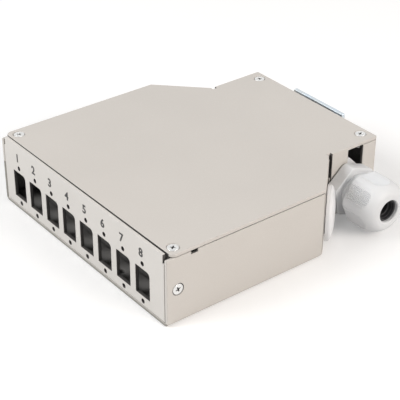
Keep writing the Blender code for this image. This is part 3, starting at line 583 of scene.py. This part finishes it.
dome = {
    "across": 22 * mm, "corner": 12.2 * mm, "turn": 55, "start": 11 * mm, "hexEnd": 18.4 * mm,
    "end": 27.2 * mm, "rim": 6.9 * mm, "hole": 5.15 * mm, "lip": 0.6 * mm, "chamfer": 0.4 * mm,
    "ease": 0.06 * mm, "ribPitch": 0.8 * mm, "ribHeight": 0.5 * mm, "ribReach": 3.7 * mm,
    "ribStart": 11.6 * mm, "ribInset": 0.03 * mm, "ribRise": 0.14 * mm, "ribRunOut": 0.3 * mm,
    "ribSideEase": 0.2 * mm, "thread": 9.5 * mm, "threadInset": 0.5 * mm, "threadEnd": 15.4 * mm,
    "claw": 8.4 * mm, "clawEnd": 20.4 * mm, "seal": 6.6 * mm, "cavityEnd": 23.4 * mm,
    "cavityStep": 1 * mm, "straightRows": 22, "domeRows": 60, "lipRows": 6, "columns": 720,
    "sharpAngle": 50,
}


def domeOutside(look):
    corner, rim, chamfer, lip = look["corner"], look["rim"], look["chamfer"], look["lip"]
    start, hexEnd, end = look["start"], look["hexEnd"], look["end"]
    rows = [(start, look["thread"] + look["threadInset"]), (start, corner - chamfer)]
    for step in range(look["straightRows"] + 1):
        share = step / look["straightRows"]
        rows.append((start + chamfer + (hexEnd - start - chamfer) * share, corner))
    for step in range(1, look["domeRows"] + 1):
        angle = pi / 2 * step / look["domeRows"]
        rows.append((hexEnd + (end - hexEnd) * sin(angle), rim + (corner - rim) * cos(angle)))
    rows.append((end, (rim + look["hole"] + lip) / 2))
    rows += bend((end - lip, look["hole"] + lip), lip, 0, -90, look["lipRows"])
    return rows


def buildDomeNut(look):
    outside = domeOutside(look)
    cavityEnd, seal, step = look["cavityEnd"], look["seal"], look["cavityStep"]
    inside = [(cavityEnd, look["hole"]), (cavityEnd, seal - step), (cavityEnd - step, seal),
              (look["clawEnd"], look["claw"]), (look["threadEnd"] + step, look["claw"]),
              (look["threadEnd"], look["thread"]), (look["start"] + look["threadInset"], look["thread"])]

    def share(value, width):
        return max(0.0, min(1.0, value / width))

    def reach(rowIndex, along, radius, angle):
        if rowIndex >= len(outside):
            return radius
        flat, across = hexagonReach(angle, look["across"], look["turn"])
        field = share(radius - flat - look["ribInset"], look["ribRise"])
        field *= share(along - look["ribStart"], look["ribRunOut"])
        field *= share(look["ribReach"] - abs(across), look["ribSideEase"])
        ridge = 0.5 + 0.5 * cos(2 * pi * across / look["ribPitch"])
        return softMin(flat, radius, look["ease"]) + look["ribHeight"] * ridge * field

    mesh = ringGrid("domeNut", outside + inside, look["columns"], look["sharpAngle"], reach)
    mesh.transform(Matrix.Translation(glandAxis))
    addPiece("domeNut", mesh, "grey_plastic", "nut", ("gland_nut",))


flange = {
    "across": 22 * mm, "turn": 40, "round": 12.3 * mm, "start": 2 * mm, "end": 6.7 * mm,
    "bore": 8.5 * mm, "edge": 0.5 * mm, "edgeRows": 5, "ease": 0.2 * mm, "slope": 0.6, "skirt": 1.3 * mm,
    "ringWidth": 1.9 * mm, "skirtWidth": 1.8 * mm, "faceWidth": 2.6 * mm, "columns": 360,
}
locknut = dict(flange, turn=75, round=12.5 * mm, start=-6.4 * mm, end=-1.8 * mm, bore=9.5 * mm,
               ease=0.25 * mm, skirt=0)


def hexRing(name, look):
    # the skirt is a rim that reaches past the ring's start, round the sealing ring
    corner, edge, edgeRows = look["round"], look["edge"], look["edgeRows"]
    start, end, bore = look["start"], look["end"], look["bore"]
    skirted = start - look["skirt"]
    rows = [(start, bore), (start, corner - look["ringWidth"]), (skirted, corner - look["skirtWidth"]),
            (skirted, corner - edge)]
    rows += bend((skirted + edge, corner - edge), edge, 180, 90, edgeRows)[1:]
    rows += bend((end - edge, corner - edge), edge, 90, 0, edgeRows)
    rows += [(end, corner - look["faceWidth"]), (end, bore)]

    def reach(rowIndex, along, radius, angle):
        flat = hexagonReach(angle, look["across"], look["turn"])[0]
        inset = corner - radius
        if inset > 2 * edge:
            return radius
        return softMin(flat - inset * look["slope"], radius, look["ease"])

    return ringGrid(name, rows, look["columns"], radiusAt=reach)


glandBody = {
    "inner": -10.5 * mm, "core": 8.75 * mm, "bore": 5.5 * mm, "chamfer": 0.5 * mm, "columns": 120,
    "claws": 6, "claw": 7.8 * mm, "clawBore": 6.6 * mm, "clawFloor": 8.2 * mm, "clawRoot": 14.9 * mm,
    "clawEnd": 19.2 * mm, "clawTip": 0.5 * mm, "clawSink": 0.1 * mm, "clawSteps": 10, "slot": 1.2 * mm,
    "threadEnd": 14.4 * mm, "pitch": 1.5 * mm, "crest": 9.2 * mm, "crestShare": 0.1, "flankShare": 0.46,
    "threadSink": 0.05 * mm, "runOut": 12, "turnSteps": 72,
}


def stemMesh(look):
    rows = [(look["inner"], look["bore"]), (look["inner"], look["core"] - look["chamfer"]),
            (look["inner"] + look["chamfer"], look["core"]), (look["threadEnd"], look["core"]),
            (look["threadEnd"], look["claw"]), (look["clawRoot"], look["claw"]),
            (look["clawRoot"], look["clawBore"]), (look["clawFloor"], look["clawBore"]),
            (look["clawFloor"], look["bore"])]
    return ringGrid("glandStem", rows, look["columns"])


def clawMesh(look):
    # springy fingers parted by parallel-sided slots, a little slimmer at their tips
    steps = look["clawSteps"]
    sector = 2 * pi / look["claws"]
    shape = bmesh.new()
    for finger in range(look["claws"]):
        middle = sector * finger + sector / 2
        rings = []
        for along, outer in ((look["clawRoot"] - look["clawSink"], look["claw"]),
                             (look["clawEnd"] - look["clawTip"], look["claw"]),
                             (look["clawEnd"], look["claw"] - look["clawTip"])):
            for radius in (outer, look["clawBore"]):
                half = sector / 2 - asin(look["slot"] / 2 / radius)
                angles = [middle + half * (2 * step / steps - 1) for step in range(steps + 1)]
                corners = [(along, radius * cos(angle), radius * sin(angle)) for angle in angles]
                rings.append([shape.verts.new(corner) for corner in corners])
        outline = (rings[0], rings[2], rings[4], rings[5], rings[3], rings[1])
        for first, second in zip(outline, outline[1:] + outline[:1]):
            for step in range(steps):
                shape.faces.new((first[step], first[step + 1], second[step + 1], second[step]))
        for step in (0, steps):
            shape.faces.new([ring[step] for ring in outline])
    return closedMesh("glandClaws", shape)


def threadMesh(name, look, start, end):
    # one helical ridge on the stem, running out at both ends
    half = look["pitch"] * look["flankShare"]
    crestHalf = look["pitch"] * look["crestShare"]
    root = look["core"] - look["threadSink"]
    count = int(((end - start - 2 * half) / look["pitch"]) * look["turnSteps"])
    shape = bmesh.new()
    sections = []
    for index in range(count + 1):
        angle = 2 * pi * index / look["turnSteps"]
        along = start + half + look["pitch"] * index / look["turnSteps"]
        fade = min(1, index / look["runOut"], (count - index) / look["runOut"])
        crest = look["core"] + (look["crest"] - look["core"]) * fade
        section = []
        for offset, radius in ((-half, root), (-crestHalf, crest), (crestHalf, crest), (half, root)):
            section.append(shape.verts.new((along + offset, radius * cos(angle), radius * sin(angle))))
        sections.append(section)
    joinRings(shape, sections)
    shape.faces.new(sections[0])
    shape.faces.new(sections[-1])
    return closedMesh(name, shape)


def buildGlandBody(look):
    parts = [
        stemMesh(look), clawMesh(look), hexRing("glandFlange", flange),
        threadMesh("innerThread", look, look["inner"] + look["chamfer"], flange["start"]),
        threadMesh("outerThread", look, flange["end"], look["threadEnd"]),
    ]
    shape = bmesh.new()
    for part in parts:
        shape.from_mesh(part)
        bpy.data.meshes.remove(part)
    mesh = meshFrom("glandBody", shape)
    mesh.transform(Matrix.Translation(glandAxis))
    addPiece("glandBody", mesh, "grey_plastic", "case", ("gland_body",))


def buildLocknut(look):
    mesh = hexRing("glandLocknut", look)
    mesh.transform(Matrix.Translation(glandAxis))
    addPiece("glandLocknut", mesh, "grey_plastic", "case", ("gland_locknut",))


insert = {
    "bore": 3.4 * mm, "outer": 6.3 * mm, "start": 9.2 * mm, "end": 23.1 * mm, "tip": 25.9 * mm,
    "chamfer": 1 * mm, "collar": 5 * mm, "lip": 0.4 * mm, "throat": 3 * mm, "throatEase": 0.5 * mm,
    "mouth": 1.3 * mm, "mouthFlare": 0.1 * mm, "easeRows": 4, "columns": 96,
}


def buildInsert(look):
    # a sleeve with a stepped mouth whose collar reaches into the nut's hole
    bore, outer, start, end, lip = (look[key] for key in ("bore", "outer", "start", "end", "lip"))
    tip, collar, chamfer, ease = (look[key] for key in ("tip", "collar", "chamfer", "throatEase"))
    throat, mouth = tip - look["throat"], tip - look["mouth"]
    rows = [(start, bore), (throat, bore)]
    rows += bend((throat + ease, bore), ease, 180, 90, look["easeRows"])[1:]
    rows += [(mouth, bore + ease), (mouth + look["mouthFlare"], collar - 2 * lip)]
    rows += bend((tip - lip, collar - lip), lip, -90, 90, 2 * look["easeRows"])
    rows += [(end, collar), (end, outer - chamfer), (end - chamfer, outer), (start, outer)]
    mesh = ringGrid("sealInsert", rows, look["columns"])
    mesh.transform(Matrix.Translation(glandAxis))
    addPiece("sealInsert", mesh, "black_rubber", "seal", ("gland_seal",))


sealingRing = {
    "inner": 9.3 * mm, "outer": 10.1 * mm, "start": 0.3 * mm, "end": 1.7 * mm, "ease": 0.35 * mm,
    "easeRows": 4, "columns": 120,
}


def buildSealingRing(look):
    ease, steps = look["ease"], look["easeRows"]
    low, high = look["start"] + ease, look["end"] - ease
    inner, outer = look["inner"] + ease, look["outer"] - ease
    rows = bend((low, inner), ease, 270, 180, steps) + bend((low, outer), ease, 180, 90, steps)
    rows += bend((high, outer), ease, 90, 0, steps) + bend((high, inner), ease, 0, -90, steps)
    mesh = ringGrid("glandSealingRing", rows, look["columns"])
    mesh.transform(Matrix.Translation(glandAxis))
    addPiece("glandSealingRing", mesh, "black_rubber", "case", ("gland_washer",))


buildDomeNut(dome)
buildSealingRing(sealingRing)
buildGlandBody(glandBody)
buildLocknut(locknut)
buildInsert(insert)
print("gland dressed")


# Blanking plugs

plugLook = {
    "shank": 9.2 * mm, "thickness": 2 * mm, "edge": 0.6 * mm, "edgeRows": 5, "crown": 1.9 * mm,
    "crownRows": 12, "pole": 0.05 * mm, "rimEase": 0.15 * mm, "length": 6.4 * mm, "tipEase": 0.4 * mm,
    "wall": 1.6 * mm, "beadStart": -1.8 * mm, "bead": 0.7 * mm, "gap": 0.3 * mm,
    "columns": 128, "sharpAngle": 35,
}
plugTurns = {"plug_shoulder_left": 135, "plug_shoulder_right": 45, "plug_neck_left": 180}


def plugMesh(name, rimRadius, look):
    gap, shank, edge, pole, rimEase = (look[key] for key in ("gap", "shank", "edge", "pole", "rimEase"))
    rimTop, cupFloor = gap + look["thickness"], gap + look["wall"]
    cup, beadStart, steps = shank - look["wall"], look["beadStart"], look["crownRows"]
    rows = [(gap, shank), (gap, rimRadius - rimEase), (gap + rimEase, rimRadius)]
    rows += bend((rimTop - edge, rimRadius - edge), edge, 90, 25, look["edgeRows"])
    last = rows[-1]
    for step in range(1, steps):
        angle = pi / 2 * step / steps
        rows.append((last[0] + (rimTop + look["crown"] - last[0]) * sin(angle), last[1] * cos(angle)))
    rows += [(rimTop + look["crown"], pole), (cupFloor, pole), (cupFloor, cup), (-look["length"], cup),
             (-look["length"], shank - look["tipEase"]), (beadStart - 2 * look["bead"], shank),
             (beadStart - look["bead"], shank + look["bead"]), (beadStart, shank)]
    return ringGrid(name, rows, look["columns"], look["sharpAngle"])


def placePlug(node, turn, look):
    # a plug points out of its wall, and the box of its solid gives the place
    low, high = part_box(node)
    rimRadius = (high.z - low.z) / 2
    centre = (low + high) / 2
    if turn == 180:
        centre.x = high.x - look["length"]
    else:
        # a round rim at 45 degrees: its box is as wide as the disc's diagonal reach
        tip = look["gap"] + look["thickness"] - look["edge"]
        inset = rimRadius / sqrt(2) + tip / sqrt(2)
        centre.x = high.x - inset if turn < 90 else low.x + inset
        centre.y = high.y - inset
    mesh = plugMesh(node + "Fine", rimRadius, look)
    mesh.transform(Matrix.Translation(centre) @ Matrix.Rotation(radians(turn), 4, "Z"))
    addPiece(node + "Fine", mesh, "white_plastic", "case", (node,))


for node, turn in plugTurns.items():
    placePlug(node, turn, plugLook)
print("plugs placed")


# Port numbers

numberLook = {
    "height": 3.8 * mm, "heightShare": 0.7, "rise": 26.4 * mm, "shift": -0.8 * mm, "lift": 0.02 * mm,
    "thickness": 0.015 * mm, "bold": 0.07 * mm, "swell": 0.1 * mm,
}


def printNumbers(look):
    ports = [box for box in frame["record"]["physics"]["openings"] if box["name"].startswith("port_")]
    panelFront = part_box("front_panel")[0].y
    for number, port in enumerate(ports, 1):
        low, high = port["box_m"]
        middle = (low[0] + high[0]) / 2
        text = bpy.data.curves.new("portNumber%d" % number, "FONT")
        text.body = str(number)
        text.size = look["height"] / look["heightShare"]
        text.align_x = "CENTER"
        text.align_y = "CENTER"
        text.extrude = look["thickness"]
        text.offset = look["bold"]
        text.bevel_depth = look["swell"]
        text.bevel_resolution = 0
        text.materials.append(finishes["ink"])
        label = bpy.data.objects.new("portNumber%d" % number, text)
        label.location = (middle + look["shift"], panelFront - look["lift"], look["rise"])
        label.rotation_euler = (pi / 2, 0, 0)
        scene.collection.objects.link(label)
        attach(label, "case")


printNumbers(numberLook)
print("port numbers printed")


# Rail clip: round wire spring and blind rivets

springLook = {
    "radius": 1.3 * mm, "wire": 0.26 * mm, "turns": 8, "flatTurns": 1.2, "steps": 28, "sides": 12,
    "sharpAngle": 60,
}


def buildSpring(look):
    low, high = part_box("din_spring")
    middleY = (low.y + high.y) / 2
    middleZ = (low.z + high.z) / 2
    run = high.x - low.x - 2 * look["wire"]
    count = look["turns"] * look["steps"]
    ends = look["flatTurns"] / look["turns"]  # the end coils lie flat, the others are evenly spread
    shape = bmesh.new()
    sections = []
    for index in range(count + 1):
        share = index / count
        angle = 2 * pi * look["turns"] * share
        spread = min(1, max(0, (share - ends / 2) / (1 - ends)))
        along = low.x + look["wire"] + (run - 2 * look["wire"]) * spread + 2 * look["wire"] * share
        outwards = Vector((0, cos(angle), sin(angle)))
        place = Vector((along, middleY, middleZ)) + outwards * look["radius"]
        section = []
        for side in range(look["sides"]):
            turn = 2 * pi * side / look["sides"]
            offset = outwards * cos(turn) + Vector((1, 0, 0)) * sin(turn)
            section.append(shape.verts.new(place + offset * look["wire"]))
        sections.append(section)
    joinRings(shape, sections)
    shape.faces.new(sections[0])
    shape.faces.new(sections[-1])
    mesh = closedMesh("latchSpring", shape, look["sharpAngle"])
    piece = addPiece("latchSpring", mesh, "spring_steel", "case", ("din_spring",))
    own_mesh(piece)


rivetLook = {
    "head": 3.0 * mm, "height": 1.0 * mm, "brim": 0.25 * mm, "crownRows": 8, "hole": 1.05 * mm,
    "holeEase": 0.1 * mm, "holeDepth": 0.55 * mm, "lip": 0.15 * mm, "lipDrop": 0.06 * mm,
    "pole": 0.04 * mm, "shank": 1.6 * mm, "columns": 64, "sharpAngle": 35,
    "tail": ((1.3 * mm, 1.6 * mm), (1.3 * mm, 2.4 * mm), (0.9 * mm, 2.5 * mm), (0.2 * mm, 1.8 * mm),
             (0, 1.2 * mm), (0, 0.04 * mm)),  # height above the tail's end and radius
}


def placeRivets(look):
    brim, pole, hole, steps = look["brim"], look["pole"], look["hole"], look["crownRows"]
    inner = hole + look["lip"]
    for number in range(1, 5):
        node = "rivet_%d" % number
        low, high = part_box(node)
        top, under = high.y, high.y - look["height"]
        holeFloor = top - look["holeDepth"]
        rows = [(holeFloor, pole), (holeFloor, hole - look["holeEase"]), (top - look["lipDrop"], hole)]
        for step in range(1, steps + 1):
            angle = pi / 2 * step / steps
            rows.append((under + brim + (look["height"] - brim) * cos(angle),
                         inner + (look["head"] - inner) * sin(angle)))
        rows += [(under, look["head"]), (under, look["shank"])]
        rows += [(low.y + rise, radius) for rise, radius in look["tail"]]
        mesh = ringGrid(node + "Fine", rows, look["columns"], look["sharpAngle"])
        middle = ((low.x + high.x) / 2, 0, (low.z + high.z) / 2)
        mesh.transform(Matrix.Translation(middle) @ Matrix.Rotation(pi / 2, 4, "Z"))
        addPiece(node + "Fine", mesh, "bright_zinc", "case", (node,))


buildSpring(springLook)
placeRivets(rivetLook)
print("rail clip dressed")


# Studio

floorLook = {
    "size": 4.0, "drop": 0.05 * mm, "colour": (0.93, 0.93, 0.93), "lift": 0.2,
    "bounce": (0.72, 0.72, 0.72), "fadeStart": 0.35, "fadeEnd": 0.9,
}
ambient = 0.31  # strength of the world's light on the object
lamps = {
    "key lamp": {"place": (-0.45, -1.1, 0.92), "size": 0.9, "power": 14.6, "colour": (1, 1, 1)},
    "fill lamp": {"place": (1.2, 0.35, 0.7), "size": 0.8, "power": 10.7, "colour": (1.0, 0.93, 0.87)},
    "back lamp": {"place": (0.5, 1.2, 0.9), "size": 0.8, "power": 2.4, "colour": (1, 1, 1)},
}
shot = {
    "place": (0.3791, -0.2963, 0.3001), "target": (0.0139, -0.0126, 0.0160), "roll": 0.152,
    "lens": 114.15, "sensor": 36, "near": 0.01,
}


def rayShare(tree, names):
    # 1 where a ray is one of the named kinds, otherwise 0
    paths = tree.nodes.new("ShaderNodeLightPath")
    total = paths.outputs[names[0]]
    for name in names[1:]:
        larger = tree.nodes.new("ShaderNodeMath")
        larger.operation = "MAXIMUM"
        tree.links.new(total, larger.inputs[0])
        tree.links.new(paths.outputs[name], larger.inputs[1])
        total = larger.outputs[0]
    return total


def mixShaders(tree, factor, first, second):
    node = tree.nodes.new("ShaderNodeMixShader")
    for socket, value in zip(node.inputs, (factor, first, second)):
        tree.links.new(value, socket)
    return node.outputs[0]


def diffuse(tree, colour):
    node = tree.nodes.new("ShaderNodeBsdfDiffuse")
    node.inputs["Color"].default_value = (*colour, 1)
    return node.outputs[0]


def emission(tree, strength):
    node = tree.nodes.new("ShaderNodeEmission")
    node.inputs["Strength"].default_value = strength
    return node.outputs[0]


def layFloor(look):
    half = look["size"] / 2
    mesh = bpy.data.meshes.new("floor")
    corners = [(-half, -half, 0), (half, -half, 0), (half, half, 0), (-half, half, 0)]
    mesh.from_pydata(corners, [], [(0, 1, 2, 3)])
    floor = bpy.data.objects.new("floor", mesh)
    floor.location.z = -look["drop"]
    scene.collection.objects.link(floor)
    material = bpy.data.materials.new("pale floor")
    material.use_nodes = True
    tree = material.node_tree
    tree.nodes.clear()
    lifted = tree.nodes.new("ShaderNodeAddShader")
    tree.links.new(diffuse(tree, look["colour"]), lifted.inputs[0])
    tree.links.new(emission(tree, look["lift"]), lifted.inputs[1])
    # further out the floor turns plain white, as the backdrop is
    place = tree.nodes.new("ShaderNodeTexCoord")
    away = tree.nodes.new("ShaderNodeVectorMath")
    away.operation = "LENGTH"
    tree.links.new(place.outputs["Object"], away.inputs[0])
    fade = remap(tree, away.outputs["Value"], 0, 1, look["fadeStart"], look["fadeEnd"])
    seen = mixShaders(tree, fade, lifted.outputs[0], emission(tree, 1.0))
    # the light that the floor throws back on the object is set apart from the white that is seen
    direct = rayShare(tree, ["Is Camera Ray", "Is Glossy Ray"])
    surface = mixShaders(tree, direct, diffuse(tree, look["bounce"]), seen)
    output = tree.nodes.new("ShaderNodeOutputMaterial")
    tree.links.new(surface, output.inputs["Surface"])
    mesh.materials.append(material)


def lightWorld(strength):
    world = bpy.data.worlds.new("studio")
    scene.world = world
    world.use_nodes = True
    tree = world.node_tree
    tree.nodes.clear()
    backdrops = []
    for level in (strength, 1.0):
        node = tree.nodes.new("ShaderNodeBackground")
        node.inputs["Color"].default_value = (1, 1, 1, 1)
        node.inputs["Strength"].default_value = level
        backdrops.append(node.outputs[0])
    direct = rayShare(tree, ["Is Camera Ray", "Is Glossy Ray", "Is Transmission Ray"])
    output = tree.nodes.new("ShaderNodeOutputWorld")
    tree.links.new(mixShaders(tree, direct, *backdrops), output.inputs["Surface"])


def addLamp(name, look):
    data = bpy.data.lights.new(name, "AREA")
    data.shape = "DISK"
    data.size = look["size"]
    data.energy = look["power"]
    data.color = look["colour"]
    lamp = bpy.data.objects.new(name, data)
    lamp.location = look["place"]
    lamp.rotation_euler = (-Vector(look["place"])).to_track_quat("-Z", "Y").to_euler()
    scene.collection.objects.link(lamp)


def placeCamera(look):
    place, target = Vector(look["place"]), Vector(look["target"])
    back = (place - target).normalized()
    right = Vector((0, 0, 1)).cross(back).normalized()
    up = back.cross(right)
    roll = radians(look["roll"])
    tiltedRight = right * cos(roll) + up * sin(roll)
    tiltedUp = up * cos(roll) - right * sin(roll)
    data = bpy.data.cameras.new("camera")
    data.sensor_width = look["sensor"]
    data.lens = look["lens"]
    data.clip_start = look["near"]
    camera = bpy.data.objects.new("camera", data)
    camera.matrix_world = Matrix((
        (tiltedRight.x, tiltedUp.x, back.x, place.x),
        (tiltedRight.y, tiltedUp.y, back.y, place.y),
        (tiltedRight.z, tiltedUp.z, back.z, place.z),
        (0, 0, 0, 1),
    ))
    scene.collection.objects.link(camera)
    scene.camera = camera


scene.view_settings.view_transform = "Standard"
layFloor(floorLook)
lightWorld(ambient)
for name, look in lamps.items():
    addLamp(name, look)
placeCamera(shot)
print("studio set")
